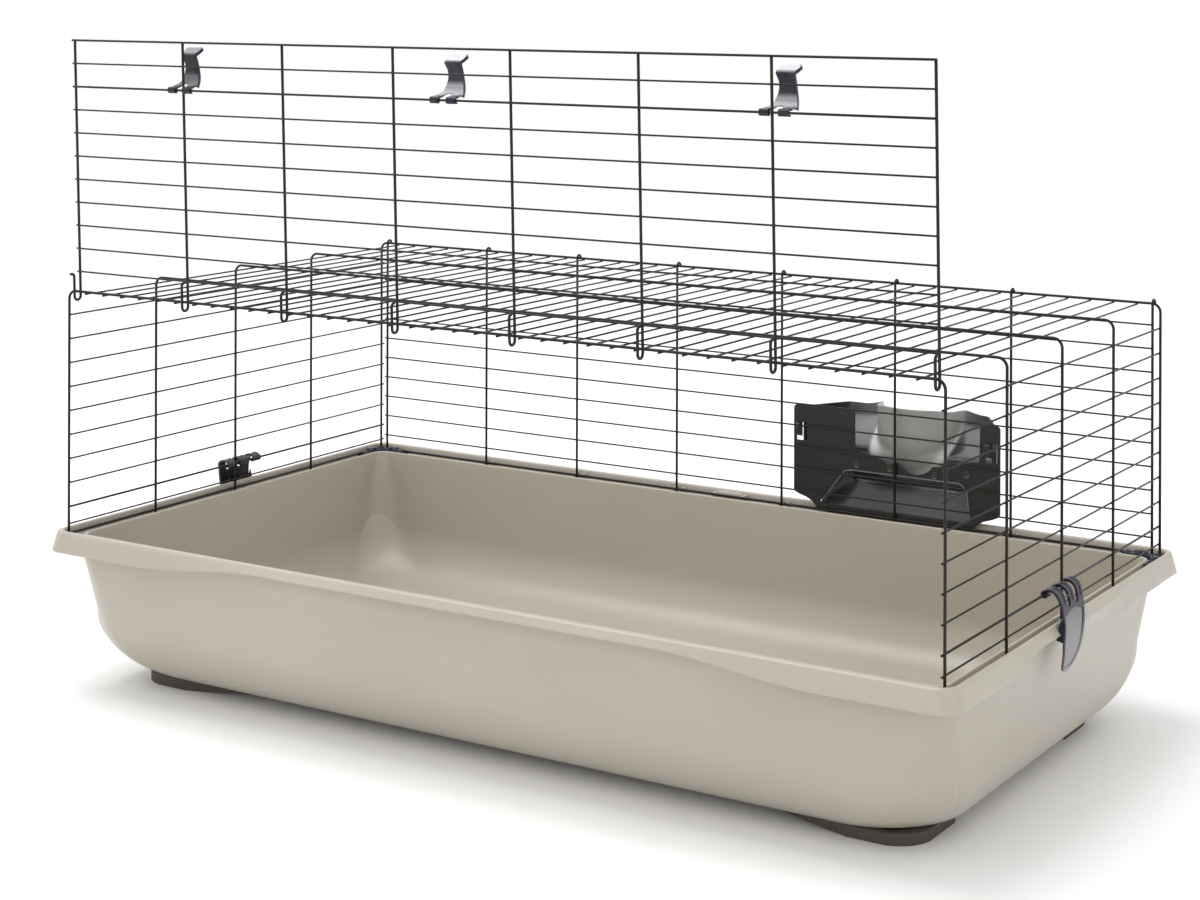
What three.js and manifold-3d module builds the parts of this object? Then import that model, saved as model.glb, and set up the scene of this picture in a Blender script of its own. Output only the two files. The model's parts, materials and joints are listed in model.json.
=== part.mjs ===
// Indoor rabbit hutch: a moulded tray with a wire cage standing in the channel of its rim.
// Millimetres, +Z up, X along the hutch, -Y towards the opening front panel, Z = 0 on the floor.
import * as THREE from "three";
import { mergeVertices } from "three/addons/utils/BufferGeometryUtils.js";
import Module from "manifold-3d";

const wasm = await Module();
wasm.setup();

// ---- Driving dimensions -------------------------------------------------------------------
const HALF_LENGTH = 590; // rim, outside, at the corners
const HALF_WIDTH = 328;
const WALL_X = 569; // outside of the tray walls at WALL_TOP_Z
const WALL_Y = 303;
const WALL_TOP_Z = 160;
const BOTTOM_Z = 10; // underside of the tray between the feet
const WALL_T = 3;
const END_COVE = 62; // radius from the bottom into the end walls
const SIDE_COVE = 72; // radius from the bottom into the front and rear walls
const END_DRAFT = 0.09;
const SIDE_DRAFT = 0.035;
const RIM_TOP_Z = 187.5;
const CHANNEL_Z = 176; // bottom of the groove that the wires stand in
const APRON_LOW_Z = 163.5; // lower edge of the rim's apron at the corners
const APRON_HIGH_Z = 178.5; // and along the middle of each side

const ROOF_Z = 474.5;
const CAGE_X = 570; // centres of the end walls' thick wires
const CAGE_Y = 306; // centres of the roof's front and rear edge wires
const THICK_R = 1.6;
const THIN_R = 1;
const WELD = 0.4; // how far a thin wire sinks into the thick one that it is welded to
const THIN_OFFSET = THICK_R + THIN_R - WELD;
const WIRE_OVERHANG = 3;
const BEND_R = 10;
const SEAM_Z = ROOF_Z - BEND_R - 3; // the folded panel is split here, just under its bends
const WIRE_FOOT_Z = CHANNEL_Z + 0.6;
const U_WIRE_Y = [-CAGE_Y, -156, -6, 149, CAGE_Y];
const PANEL_WIRE_X = [-556, -384, -235, -79, 76, 234, 387, 562];
const END_PITCH = 28.83;
const ROOF_GAPS = 40;
const REAR_PITCH = 27.47;
const REAR_FIRST = 0.88; // the rear panel's first thin wire below the roof, in pitches
const REAR_HOOK_R = 4.2; // its thick wires end in hooks over the roof's rear edge wire
const REAR_Y = CAGE_Y - REAR_HOOK_R;
const CLIP_WIRE = 9; // thin wire of each end wall that carries the end clip
const CLIP_WIRE_R = 1.3;
const BORE_R = 2.5; // hole of the clips' barrels, wide enough for the square-edged wire to turn in

const DOOR_PITCH = 27.78;
const DOOR_TOP = 301.6; // free edge wire above the hinge line
const DOOR_LEAN = THREE.MathUtils.degToRad(2); // the open panel leans forwards
const DOOR_WIRE_Y = 4.5; // thick wires behind the hinge line
const LOOP_R = 5;
const LOOP_BELOW = 10;
const DOOR_CLIP_X = [-397, -20, 381]; // left hook of each clip
const DOOR_CLIP_LEAN = THREE.MathUtils.degToRad(16); // the clips lean back from the panel

const FEEDER_X = 232; // middle of the feeder
const FEEDER_HALF = 140;
const FEEDER_BULGE_X = 261; // middle of the window's rounded bottom and of the chute behind it
const FEEDER_STUD_X = [181, 226.5, 286, 329];
const FEEDER_TOP = 311;
const FEEDER_OUT = 371;
const PLATE_Y = 304.4;
const PLATE_T = 2.5;
const SHELL_T = 2.2;
const GAP = 0.3; // between pieces that touch

// The feeder stands out behind the rim, so the whole is moved forwards to centre its box on the origin.
const CENTRE_SHIFT_Y = -(FEEDER_OUT - HALF_WIDTH) / 2;

const SIDES_THICK = 6;
const SIDES_THIN = 4;

// ---- Solids -------------------------------------------------------------------------------
// A closed three.js geometry as a manifold-3d solid, turned outwards if it faces in.
function solid(geometry) {
  const bare = geometry.index ? geometry.toNonIndexed() : geometry.clone();
  bare.deleteAttribute("normal");
  bare.deleteAttribute("uv");
  const merged = mergeVertices(bare, 1e-4);
  const vertProperties = new Float32Array(merged.attributes.position.array);
  const triVerts = new Uint32Array(merged.index.array);
  const made = new wasm.Manifold(new wasm.Mesh({ numProp: 3, vertProperties, triVerts }));
  if (made.volume() > 0) return made;
  return new wasm.Manifold(new wasm.Mesh({ numProp: 3, vertProperties, triVerts: triVerts.reverse() }));
}

function meshOf(shape, name, material) {
  const data = shape.getMesh();
  const geometry = new THREE.BufferGeometry();
  geometry.setAttribute("position", new THREE.BufferAttribute(new Float32Array(data.vertProperties), 3));
  geometry.setIndex(new THREE.BufferAttribute(new Uint32Array(data.triVerts), 1));
  geometry.computeVertexNormals();
  const mesh = new THREE.Mesh(geometry, material);
  mesh.name = name;
  return mesh;
}

const union = (shapes) => shapes.reduce((whole, shape) => whole.add(shape));

function box(low, high) {
  const size = high.map((value, axis) => value - low[axis]);
  const geometry = new THREE.BoxGeometry(...size);
  geometry.translate(...low.map((value, axis) => value + size[axis] / 2));
  return solid(geometry);
}

// A path through given points that an extrusion follows point by point.
class PointPath extends THREE.Curve {
  constructor(points) {
    super();
    this.points = points.map((point) => new THREE.Vector3(...point));
  }
  getSpacedPoints() {
    return this.points;
  }
  getTangentAt(share, target = new THREE.Vector3()) {
    const last = this.points.length - 1;
    const index = Math.round(share * last);
    const before = this.points[Math.max(index - 1, 0)];
    const after = this.points[Math.min(index + 1, last)];
    return target.subVectors(after, before).normalize();
  }
}

function polygonShape(points) {
  return new THREE.Shape(points.map(([x, y]) => new THREE.Vector2(x, y)));
}

function wire(points, radius, sides) {
  const corner = radius / Math.cos(Math.PI / sides);
  const section = [];
  for (let i = 0; i < sides; i++) {
    const angle = ((i + 0.5) / sides) * 2 * Math.PI;
    section.push([corner * Math.cos(angle), corner * Math.sin(angle)]);
  }
  const path = new PointPath(points);
  return solid(new THREE.ExtrudeGeometry(polygonShape(section), { steps: points.length - 1, extrudePath: path }));
}

const thick = (points) => wire(points, THICK_R, SIDES_THICK);
const thin = (points, radius = THIN_R) => wire(points, radius, SIDES_THIN);

// Points of an arc in a plane, as [across, up] pairs.
function arc(across, up, radius, from, to, steps) {
  const points = [];
  for (let i = 0; i <= steps; i++) {
    const angle = THREE.MathUtils.degToRad(from + ((to - from) * i) / steps);
    points.push([across + radius * Math.cos(angle), up + radius * Math.sin(angle)]);
  }
  return points;
}

// A flat outline in X and Z, given a thickness along Y.
function plateXZ(shape, y, thickness) {
  const geometry = new THREE.ExtrudeGeometry(shape, { depth: thickness, bevelEnabled: false, curveSegments: 6 });
  geometry.rotateX(Math.PI / 2);
  geometry.translate(0, y + thickness, 0);
  return solid(geometry);
}

// A four-cornered block between a lower and an upper trapezoid, each {z, near, far, nearX, farX}.
function trapezoidBlock(low, high, middleX) {
  const corners = [];
  for (const level of [low, high]) {
    corners.push([middleX - level.nearX, level.near, level.z]);
    corners.push([middleX + level.nearX, level.near, level.z]);
    corners.push([middleX + level.farX, level.far, level.z]);
    corners.push([middleX - level.farX, level.far, level.z]);
  }
  const faces = [[3, 2, 1, 0], [4, 5, 6, 7]];
  for (let i = 0; i < 4; i++) faces.push([i, (i + 1) % 4, 4 + ((i + 1) % 4), 4 + i]);
  const positions = [];
  for (const [a, b, c, d] of faces) {
    for (const index of [a, b, c, a, c, d]) positions.push(...corners[index]);
  }
  const geometry = new THREE.BufferGeometry();
  geometry.setAttribute("position", new THREE.Float32BufferAttribute(positions, 3));
  return solid(geometry);
}

// ---- Tray ---------------------------------------------------------------------------------
const LONG_STATIONS = [-440, -350, -260, 260, 350, 440]; // where the apron's edge bends, along X
const SHORT_STATIONS = [-180, -120, 120, 180]; // and along Y
const CORNER_STEPS = 4;
const CORNER_CLEARANCE = 3; // least way from a station to the start of a corner

// 1 along the middle of a side, 0 near the corners, with a smooth change between.
function middleShare(x, y) {
  const alongX = Math.abs(x) < 480 && Math.abs(y) > 200;
  const [place, start, end] = alongX ? [Math.abs(x), 260, 440] : [Math.abs(y), 120, 180];
  return 1 - THREE.MathUtils.smoothstep(place, start, end);
}

// One ring of the tray: a rounded rectangle with the stations along its sides.
function trayRing(halfX, halfY, radius, height) {
  const ring = [];
  const add = (x, y) => ring.push([x, y, typeof height === "number" ? height : height(x, y)]);
  const corner = (signX, signY, from) => {
    for (const [x, y] of arc(0, 0, radius, from, from + 90, CORNER_STEPS)) {
      add(signX * (halfX - radius) + x, signY * (halfY - radius) + y);
    }
  };
  // Near the bottom the corners are so round that the outer stations move in with them.
  const within = (stations, straight) =>
    stations.map((place) => Math.sign(place) * Math.min(Math.abs(place), straight - CORNER_CLEARANCE));
  const along = within(LONG_STATIONS, halfX - radius);
  const across = within(SHORT_STATIONS, halfY - radius);
  corner(1, 1, 0);
  for (const x of along.toReversed()) add(x, halfY);
  corner(-1, 1, 90);
  for (const y of across.toReversed()) add(-halfX, y);
  corner(-1, -1, 180);
  for (const x of along) add(x, -halfY);
  corner(1, -1, 270);
  for (const y of across) add(halfX, y);
  return ring;
}

// Half size of the wall at a height, measured to a skin that lies `inset` inside the outer face.
function wallHalf(top, cove, draft, z, inset) {
  const centreZ = BOTTOM_Z + cove;
  const straight = top - draft * (WALL_TOP_Z - Math.max(z, centreZ)) - inset;
  if (z >= centreZ) return straight;
  const radius = cove - inset;
  return straight - radius + Math.sqrt(Math.max(radius ** 2 - (centreZ - z) ** 2, 0));
}

function wallRing(z, inset) {
  const share = (z - BOTTOM_Z) / (WALL_TOP_Z - BOTTOM_Z);
  const radius = THREE.MathUtils.lerp(90, 32, Math.min(share, 1)) - inset;
  const halfX = wallHalf(WALL_X, END_COVE, END_DRAFT, z, inset);
  const halfY = wallHalf(WALL_Y, SIDE_COVE, SIDE_DRAFT, z, inset);
  return trayRing(halfX, halfY, radius, z);
}

function loft(rings) {
  const count = rings[0].length;
  const positions = [];
  const triangle = (a, b, c) => positions.push(...a, ...b, ...c);
  for (let level = 1; level < rings.length; level++) {
    for (let i = 0; i < count; i++) {
      const next = (i + 1) % count;
      triangle(rings[level - 1][i], rings[level - 1][next], rings[level][next]);
      triangle(rings[level - 1][i], rings[level][next], rings[level][i]);
    }
  }
  const first = rings[0];
  const last = rings[rings.length - 1];
  const middle = (ring) => [0, 0, ring[0][2]];
  for (let i = 0; i < count; i++) {
    const next = (i + 1) % count;
    triangle(middle(first), first[next], first[i]);
    triangle(middle(last), last[i], last[next]);
  }
  const geometry = new THREE.BufferGeometry();
  geometry.setAttribute("position", new THREE.Float32BufferAttribute(positions, 3));
  return solid(geometry);
}

function trayShell() {
  const apronEdge = (x, y) => THREE.MathUtils.lerp(APRON_LOW_Z, APRON_HIGH_Z, middleShare(x, y));
  const rings = [10, 11.5, 16, 26, 42, 60, 82, WALL_TOP_Z].map((z) => wallRing(z, 0));
  rings.push(trayRing(570, 303.5, 30, 172.5));
  rings.push(trayRing(580.5, 316, 18, 172.5));
  rings.push(trayRing(581, 316.5, 18, 180));
  rings.push(trayRing(587, 325, 22, 180));
  rings.push(trayRing(HALF_LENGTH - 2, HALF_WIDTH - 2, 22, (x, y) => apronEdge(x, y) + 0.2));
  rings.push(trayRing(HALF_LENGTH, HALF_WIDTH, 24, apronEdge));
  rings.push(trayRing(584.5, 322.5, 20, RIM_TOP_Z - 1.5));
  rings.push(trayRing(582.5, 320.5, 19, RIM_TOP_Z));
  rings.push(trayRing(578.5, 313.5, 15, RIM_TOP_Z - 0.5));
  rings.push(trayRing(577.5, 312.5, 14, CHANNEL_Z));
  rings.push(trayRing(564.5, 296.5, 14, CHANNEL_Z));
  rings.push(trayRing(564, 296, 14, 181));
  rings.push(trayRing(561, 293, 16, 181));
  rings.push(wallRing(150, WALL_T));
  for (const z of [82, 60, 45, 29, 19, 14.5, 13]) rings.push(wallRing(z, WALL_T));
  return loft(rings);
}

// A foot is an angle that follows the corner of the bottom.
function foot(signX, signY) {
  const outerX = 512;
  const outerY = 246;
  const radius = 36;
  const width = 14;
  const outer = arc(outerX - radius, outerY - radius, radius, 0, 90, 5);
  const inner = arc(outerX - radius, outerY - radius, radius - width, 90, 0, 5);
  const outline = [[outerX, 150], ...outer, [436, outerY], [436, outerY - width], ...inner, [outerX - width, 150]];
  const shape = polygonShape(outline.map(([x, y]) => [x * signX, y * signY]));
  return solid(new THREE.ExtrudeGeometry(shape, { depth: 12.4, bevelEnabled: false }));
}

const BRIDGE_HALF = 24;

function tray() {
  const parts = [trayShell()];
  for (const signX of [-1, 1]) {
    for (const signY of [-1, 1]) parts.push(foot(signX, signY));
  }
  // Moulded blocks close the channel at mid length, front and rear.
  for (const [near, far] of [[295, 314], [-314, -295]]) {
    parts.push(box([-BRIDGE_HALF, near, CHANNEL_Z - 1], [BRIDGE_HALF, far, CHANNEL_Z + 9]));
  }
  return union(parts);
}

// ---- Wire panels --------------------------------------------------------------------------
const endWireZ = (index) => ROOF_Z - END_PITCH * (index < 10 ? index : 9.71);

// An end wall of the folded panel, up to the seam under its bend.
function endWall(sign) {
  const ends = [WIRE_FOOT_Z, SEAM_Z - GAP / 2];
  const parts = U_WIRE_Y.map((y) => thick(ends.map((z) => [sign * CAGE_X, y, z])));
  const thinX = sign * (CAGE_X - THIN_OFFSET);
  const end = CAGE_Y + WIRE_OVERHANG;
  for (let index = 1; index <= 10; index++) {
    const radius = index === CLIP_WIRE ? CLIP_WIRE_R : THIN_R;
    const z = endWireZ(index);
    parts.push(thin([[thinX, -end, z], [thinX, end, z]], radius));
  }
  return union(parts);
}

// The roof of the folded panel, with the bends that lead into the end walls.
function roof() {
  const bend = arc(CAGE_X - BEND_R, ROOF_Z - BEND_R, BEND_R, 0, 90, 4);
  const parts = U_WIRE_Y.map((y) => {
    const right = [[CAGE_X, SEAM_Z + GAP / 2], ...bend].map(([x, z]) => [x, y, z]);
    const left = right.map(([x, , z]) => [-x, y, z]).reverse();
    return thick([...right, ...left]);
  });
  const end = CAGE_Y + WIRE_OVERHANG;
  const z = ROOF_Z - THIN_OFFSET;
  for (let index = 1; index < ROOF_GAPS; index++) {
    const x = -CAGE_X + (2 * CAGE_X * index) / ROOF_GAPS;
    parts.push(thin([[x, -end, z], [x, end, z]]));
  }
  return union(parts);
}

const PANEL_END = 2.3; // how far thin wires run past the outer thick wires
const PANEL_LEFT = PANEL_WIRE_X[0] - PANEL_END;
const PANEL_RIGHT = PANEL_WIRE_X[PANEL_WIRE_X.length - 1] + PANEL_END;

function rearPanel() {
  const hook = arc(CAGE_Y, ROOF_Z, REAR_HOOK_R, 180, -10, 7);
  const parts = PANEL_WIRE_X.map((x) => {
    const path = [[REAR_Y, WIRE_FOOT_Z], ...hook].map(([y, z]) => [x, y, z]);
    return thick(path);
  });
  const y = REAR_Y - THIN_OFFSET;
  for (let index = 0; index < 10; index++) {
    const z = ROOF_Z - REAR_PITCH * (REAR_FIRST + index);
    parts.push(thin([[PANEL_LEFT, y, z], [PANEL_RIGHT, y, z]]));
  }
  return union(parts);
}

// The opening front panel, upright, with its hinge line on the X axis.
function frontPanel() {
  const loopMiddle = DOOR_WIRE_Y - LOOP_R;
  const loopLow = LOOP_R - LOOP_BELOW;
  const bend = arc(loopMiddle, loopLow, LOOP_R, 0, -180, 6);
  const legTop = DOOR_TOP - 10 * DOOR_PITCH - 4;
  const curl = arc(loopMiddle + 1.5, legTop, LOOP_R + 1.5, 180, 110, 2);
  const parts = PANEL_WIRE_X.map((x) => {
    const path = [[DOOR_WIRE_Y, DOOR_TOP], ...bend, ...curl];
    return thick(path.map(([y, z]) => [x, y, z]));
  });
  const y = DOOR_WIRE_Y - THIN_OFFSET;
  for (let index = 0; index <= 10; index++) {
    const z = DOOR_TOP - index * DOOR_PITCH;
    const radius = index === 0 ? CLIP_WIRE_R : THIN_R;
    parts.push(thin([[PANEL_LEFT, y, z], [PANEL_RIGHT, y, z]], radius));
  }
  return union(parts);
}

// ---- Clips and connectors -----------------------------------------------------------------
// A round bar along X, centred on the axis.
function barrel(fromX, toX, radius, sides) {
  const geometry = new THREE.CylinderGeometry(radius, radius, toX - fromX, sides);
  geometry.rotateZ(Math.PI / 2);
  geometry.translate((fromX + toX) / 2, 0, 0);
  return solid(geometry);
}

// A strip with a curved side view: centre-line points [out, up], thickened and run along X.
function strip(line, half, fromX, toX) {
  const side = (sign) =>
    line.map((point, index) => {
      const before = line[Math.max(index - 1, 0)];
      const after = line[Math.min(index + 1, line.length - 1)];
      const along = new THREE.Vector2(after[0] - before[0], after[1] - before[1]).normalize();
      return [point[0] - sign * half * along.y, point[1] + sign * half * along.x];
    });
  const shape = polygonShape([...side(1), ...side(-1).reverse()]);
  const geometry = new THREE.ExtrudeGeometry(shape, { depth: toX - fromX, bevelEnabled: false });
  geometry.applyMatrix4(new THREE.Matrix4().makeBasis(
    new THREE.Vector3(0, 1, 0), new THREE.Vector3(0, 0, 1), new THREE.Vector3(1, 0, 0)));
  geometry.translate(fromX, 0, 0);
  return solid(geometry);
}

// A prism along the outward direction that trims a strip to an outline of [across, up] points.
function trimmer(outline) {
  const geometry = new THREE.ExtrudeGeometry(polygonShape(outline), { depth: 120, bevelEnabled: false });
  geometry.rotateX(Math.PI / 2);
  geometry.translate(0, 60, 0);
  return solid(geometry);
}

// A front clip, upright, with its wire on the X axis, its left hook at X = 0 and +Y outwards.
function doorClip() {
  const line = [[5, 1], [6.8, 6], [7.5, 14], [7.5, 26], [8.5, 38], [6, 46], [3.5, 52], [6, 57]];
  const outline = [[-5, -4], [27, -4], [33.5, 4], [33.5, 42], [38, 50], [38, 60],
    [10, 60], [10, 50], [16, 42], [16, 26], [12, 16], [-5, 10]];
  const parts = [strip(line, 1.1, -5, 38).intersect(trimmer(outline))];
  const hooks = [[-5, 3.6], [16, 26]];
  for (const [from, to] of hooks) {
    parts.push(barrel(from, to, 4, 12));
    parts.push(box([from, 2, 0], [to, 6, 4]));
  }
  const wireGap = box([hooks[0][1], -8, -8], [hooks[1][0], 12, 9]);
  return union(parts).subtract(wireGap).subtract(barrel(-6, 28, BORE_R, 8));
}

// An end clip with its wire on the X axis, +Y outwards, hanging down and centred on X = 0.
// Below its fingers it is a fin that leans towards +X and ends in a blunt tip on that side.
function endClip() {
  const half = 33;
  const finEdge = 44;
  const line = [[0, 3.2], [7, 4.6], [14, 1], [19, -8], [23, -18], [25.4, -30], [26, -45], [25, -60], [22.5, -76]];
  const outline = [[-half, 12], [-half, 1], [-23, -8], [-18, -21], [-10, -44], [-4, -55], [10, -68], [24, -74],
    [37, -74], [42, -69], [finEdge, -44], [39, -21], [half, -8], [half, 12]];
  let body = strip(line, 1.4, -half, finEdge).intersect(trimmer(outline));
  for (const x of [-12, 12]) body = body.subtract(box([x - 5, -5, -9], [x + 5, 24, 12]));
  const parts = [body];
  for (const x of [-24, 0, 24]) parts.push(barrel(x - 7, x + 7, 4.6, 12));
  parts.push(box([-6, 17, -43.5], [finEdge - 3, 26, -40.4])); // claw that catches under the rim
  return union(parts).subtract(barrel(-half - 1, half + 1, BORE_R, 8));
}

// A rear corner connector: an angle in the channel with a hole for each wire that it holds.
function cornerConnector(sign) {
  const [inX, inY, outX, outY] = [565.2, 297.2, 576.8, 311.8];
  const reach = 52;
  const low = CHANNEL_Z + GAP;
  const high = CHANNEL_Z + 8;
  const outline = [[outX - reach, outY], [outX - 12, outY], [outX, outY - 12], [outX, outY - reach],
    [inX, outY - reach], [inX, inY], [outX - reach, inY]];
  const shape = polygonShape(outline.map(([x, y]) => [sign * x, y]));
  const geometry = new THREE.ExtrudeGeometry(shape, { depth: high - low, bevelEnabled: false });
  geometry.translate(0, 0, low);
  let block = solid(geometry);
  const panelX = sign < 0 ? PANEL_WIRE_X[0] : PANEL_WIRE_X[PANEL_WIRE_X.length - 1];
  const clear = THICK_R + 0.6;
  for (const [x, y] of [[sign * CAGE_X, CAGE_Y], [panelX, REAR_Y]]) {
    block = block.subtract(box([x - clear, y - clear, low - 1], [x + clear, y + clear, high + 1]));
  }
  for (let knuckle = 0; knuckle < 3; knuckle++) {
    const start = outX - reach + 3 + knuckle * 11;
    const ends = [sign * start, sign * (start + 7)].sort((a, b) => a - b);
    block = block.add(box([ends[0], REAR_Y + 3.4, high - 1], [ends[1], outY, high + 2.5]));
  }
  return block;
}

// ---- Feeder -------------------------------------------------------------------------------
const HOOK_Z = ROOF_Z - REAR_PITCH * (REAR_FIRST + 6); // thin wire that the feeder hangs on

// Black plate with a round-bottomed window, a wide mouth and two hook tongues over a rear wire.
function feederPlate() {
  const half = FEEDER_HALF;
  const bulge = FEEDER_BULGE_X - FEEDER_X;
  const outline = [[-half, 204], [-half, FEEDER_TOP - 4], [-half + 4, FEEDER_TOP], [-54, FEEDER_TOP], [-54, 263],
    [bulge - 46, 256], ...arc(bulge, 268, 28, 210, 330, 6), [bulge + 46, 256], [112, 264], [112, FEEDER_TOP],
    [half - 4, FEEDER_TOP], [half, FEEDER_TOP - 4], [half, 204], [half - 12, 198], [half - 26, 194],
    [half - 40, 181], [-half + 40, 181], [-half + 26, 190], [-half + 12, 199]];
  const shape = polygonShape(outline.map(([x, z]) => [FEEDER_X + x, z]));
  let plate = plateXZ(shape, PLATE_Y, PLATE_T);
  plate = plate.subtract(box([FEEDER_X - 102, 290, 190.5], [FEEDER_X + 102, 320, 235]));
  for (const x of [-half + 9, half - 9]) {
    const middle = FEEDER_X + x;
    plate = plate.subtract(box([middle - 6, 290, HOOK_Z - 18], [middle + 6, 320, HOOK_Z + 1.5]));
    plate = plate.add(box([middle - 3.5, 296, HOOK_Z + 1.5], [middle + 3.5, PLATE_Y + 1, HOOK_Z + 3.5]));
    plate = plate.add(box([middle - 3.5, 296, HOOK_Z - 6], [middle + 3.5, 298, HOOK_Z + 3.5]));
  }
  return plate;
}

const SHELL_NEAR = PLATE_Y + PLATE_T + GAP;

// Smoked funnel behind the plate, open at the top and through its round chute.
function feederHopper() {
  const high = { z: FEEDER_TOP, near: SHELL_NEAR, far: FEEDER_OUT, nearX: 129, farX: 95 };
  const low = { z: 258, near: SHELL_NEAR, far: 338, nearX: 105, farX: 84 };
  const inHigh = { z: FEEDER_TOP + 1, near: SHELL_NEAR + 2, far: FEEDER_OUT - 2, nearX: 126, farX: 92 };
  const inLow = { z: 258 + SHELL_T, near: SHELL_NEAR + 2, far: 337, nearX: 103, farX: 82 };
  const chuteMiddle = [FEEDER_BULGE_X, SHELL_NEAR + 15];
  const chute = (radius, low, high) => {
    const geometry = new THREE.CylinderGeometry(radius + 2, radius, high - low, 16);
    geometry.rotateX(Math.PI / 2);
    geometry.translate(...chuteMiddle, (low + high) / 2);
    return solid(geometry);
  };
  const shell = trapezoidBlock(low, high, FEEDER_X).add(chute(14.5, 238, 262));
  const hollow = trapezoidBlock(inLow, inHigh, FEEDER_X).add(chute(12.3, 236, 266));
  return shell.subtract(hollow);
}

// Smoked trough under the funnel, open at the top and towards the plate's mouth.
function feederTrough() {
  const low = { z: 190, near: SHELL_NEAR, far: 344, nearX: 104, farX: 96 };
  const high = { z: 236, near: SHELL_NEAR, far: FEEDER_OUT - 6, nearX: 104, farX: 88 };
  const inLow = { z: 190 + SHELL_T, near: SHELL_NEAR - 1, far: 342, nearX: 101.8, farX: 94 };
  const inHigh = { z: 237, near: SHELL_NEAR - 1, far: FEEDER_OUT - 8, nearX: 101.8, farX: 86 };
  return trapezoidBlock(low, high, FEEDER_X).subtract(trapezoidBlock(inLow, inHigh, FEEDER_X));
}

// A round stud that lies on the plate's inner face.
function feederStud(x) {
  const geometry = new THREE.CylinderGeometry(3.6, 4, 1.4, 12);
  geometry.translate(x, PLATE_Y - GAP - 0.7, 243);
  return solid(geometry);
}

// ---- Materials ----------------------------------------------------------------------------
function material(red, green, blue, roughness, metalness) {
  const finish = new THREE.MeshStandardMaterial({ roughness, metalness });
  finish.color.setRGB(red, green, blue);
  return finish;
}
const trayPlastic = material(0.49, 0.44, 0.385, 0.45, 0);
const coatedWire = material(0.02, 0.018, 0.017, 0.35, 0.6);
const clipPlastic = material(0.085, 0.085, 0.12, 0.3, 0);
const connectorPlastic = material(0.03, 0.035, 0.06, 0.4, 0);
const feederPlastic = material(0.022, 0.022, 0.022, 0.4, 0);
const smokedPlastic = material(0.1, 0.1, 0.095, 0.2, 0);

// ---- Assembly -----------------------------------------------------------------------------
const hutch = new THREE.Group();
hutch.position.y = CENTRE_SHIFT_Y;

hutch.add(meshOf(tray(), "tray", trayPlastic));
hutch.add(meshOf(endWall(-1), "left_end_grille", coatedWire));
hutch.add(meshOf(endWall(1), "right_end_grille", coatedWire));
hutch.add(meshOf(roof(), "roof_grille", coatedWire));
hutch.add(meshOf(rearPanel(), "rear_grille", coatedWire));
hutch.add(meshOf(cornerConnector(-1), "left_corner_connector", connectorPlastic));
hutch.add(meshOf(cornerConnector(1), "right_corner_connector", connectorPlastic));

const door = new THREE.Group();
door.position.set(0, -CAGE_Y, ROOF_Z);
door.rotation.x = DOOR_LEAN;
door.add(meshOf(frontPanel(), "front_panel", coatedWire));
DOOR_CLIP_X.forEach((x, index) => {
  const clip = meshOf(doorClip(), "front_clip_" + (index + 1), clipPlastic);
  clip.position.set(x, DOOR_WIRE_Y - THIN_OFFSET, DOOR_TOP - 2 * DOOR_PITCH);
  clip.rotation.x = -DOOR_CLIP_LEAN;
  door.add(clip);
});
hutch.add(door);

// The same clip on both ends, turned round, with the middle thick wire between two of its barrels.
for (const [sign, name] of [[-1, "left_end_clip"], [1, "right_end_clip"]]) {
  const clip = meshOf(endClip(), name, clipPlastic);
  clip.position.set(sign * (CAGE_X - THIN_OFFSET), U_WIRE_Y[2] - sign * 12, endWireZ(CLIP_WIRE));
  clip.rotation.z = (-sign * Math.PI) / 2;
  hutch.add(clip);
}

hutch.add(meshOf(feederPlate(), "feeder_plate", feederPlastic));
hutch.add(meshOf(feederHopper(), "feeder_hopper", smokedPlastic));
hutch.add(meshOf(feederTrough(), "feeder_trough", smokedPlastic));
FEEDER_STUD_X.forEach((x, index) => {
  hutch.add(meshOf(feederStud(x), "feeder_stud_" + (index + 1), feederPlastic));
});

export default hutch;
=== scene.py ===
import json
import math
import random

import bmesh
import bpy
from mathutils import Matrix, Vector

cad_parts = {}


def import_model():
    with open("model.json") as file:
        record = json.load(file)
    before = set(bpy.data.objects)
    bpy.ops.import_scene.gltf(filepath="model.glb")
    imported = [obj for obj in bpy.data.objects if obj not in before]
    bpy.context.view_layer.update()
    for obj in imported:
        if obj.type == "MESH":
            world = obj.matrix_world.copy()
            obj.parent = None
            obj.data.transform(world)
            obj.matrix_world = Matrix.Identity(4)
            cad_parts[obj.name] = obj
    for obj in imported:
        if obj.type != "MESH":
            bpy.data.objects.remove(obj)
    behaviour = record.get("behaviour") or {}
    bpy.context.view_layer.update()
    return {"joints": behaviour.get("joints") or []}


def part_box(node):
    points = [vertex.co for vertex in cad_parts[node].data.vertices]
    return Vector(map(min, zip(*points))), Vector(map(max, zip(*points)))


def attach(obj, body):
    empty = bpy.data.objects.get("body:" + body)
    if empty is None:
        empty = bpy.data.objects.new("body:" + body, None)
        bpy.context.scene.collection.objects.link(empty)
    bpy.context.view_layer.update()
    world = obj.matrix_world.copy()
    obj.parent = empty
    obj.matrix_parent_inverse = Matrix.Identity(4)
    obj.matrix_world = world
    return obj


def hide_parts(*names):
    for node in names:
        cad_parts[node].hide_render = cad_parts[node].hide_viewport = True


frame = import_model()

# Lengths below are millimetres in the tray's own frame: X along the hutch, -Y to the front,
# Z up from the floor, and the origin under the middle of the tray. world() turns them into metres.
MM = 0.001
TRAY_LOW, TRAY_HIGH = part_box("tray")
SHIFT_Y = (TRAY_LOW.y + TRAY_HIGH.y) / 2


def world(point):
    x, y, z = point
    return Vector((x * MM, y * MM + SHIFT_Y, z * MM))


def own(point):
    return Vector((point[0] / MM, (point[1] - SHIFT_Y) / MM, point[2] / MM))


def joint(name):
    return next(entry for entry in frame["joints"] if entry["name"] == name)


def mix(a, b, share):
    return a + (b - a) * share


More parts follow.
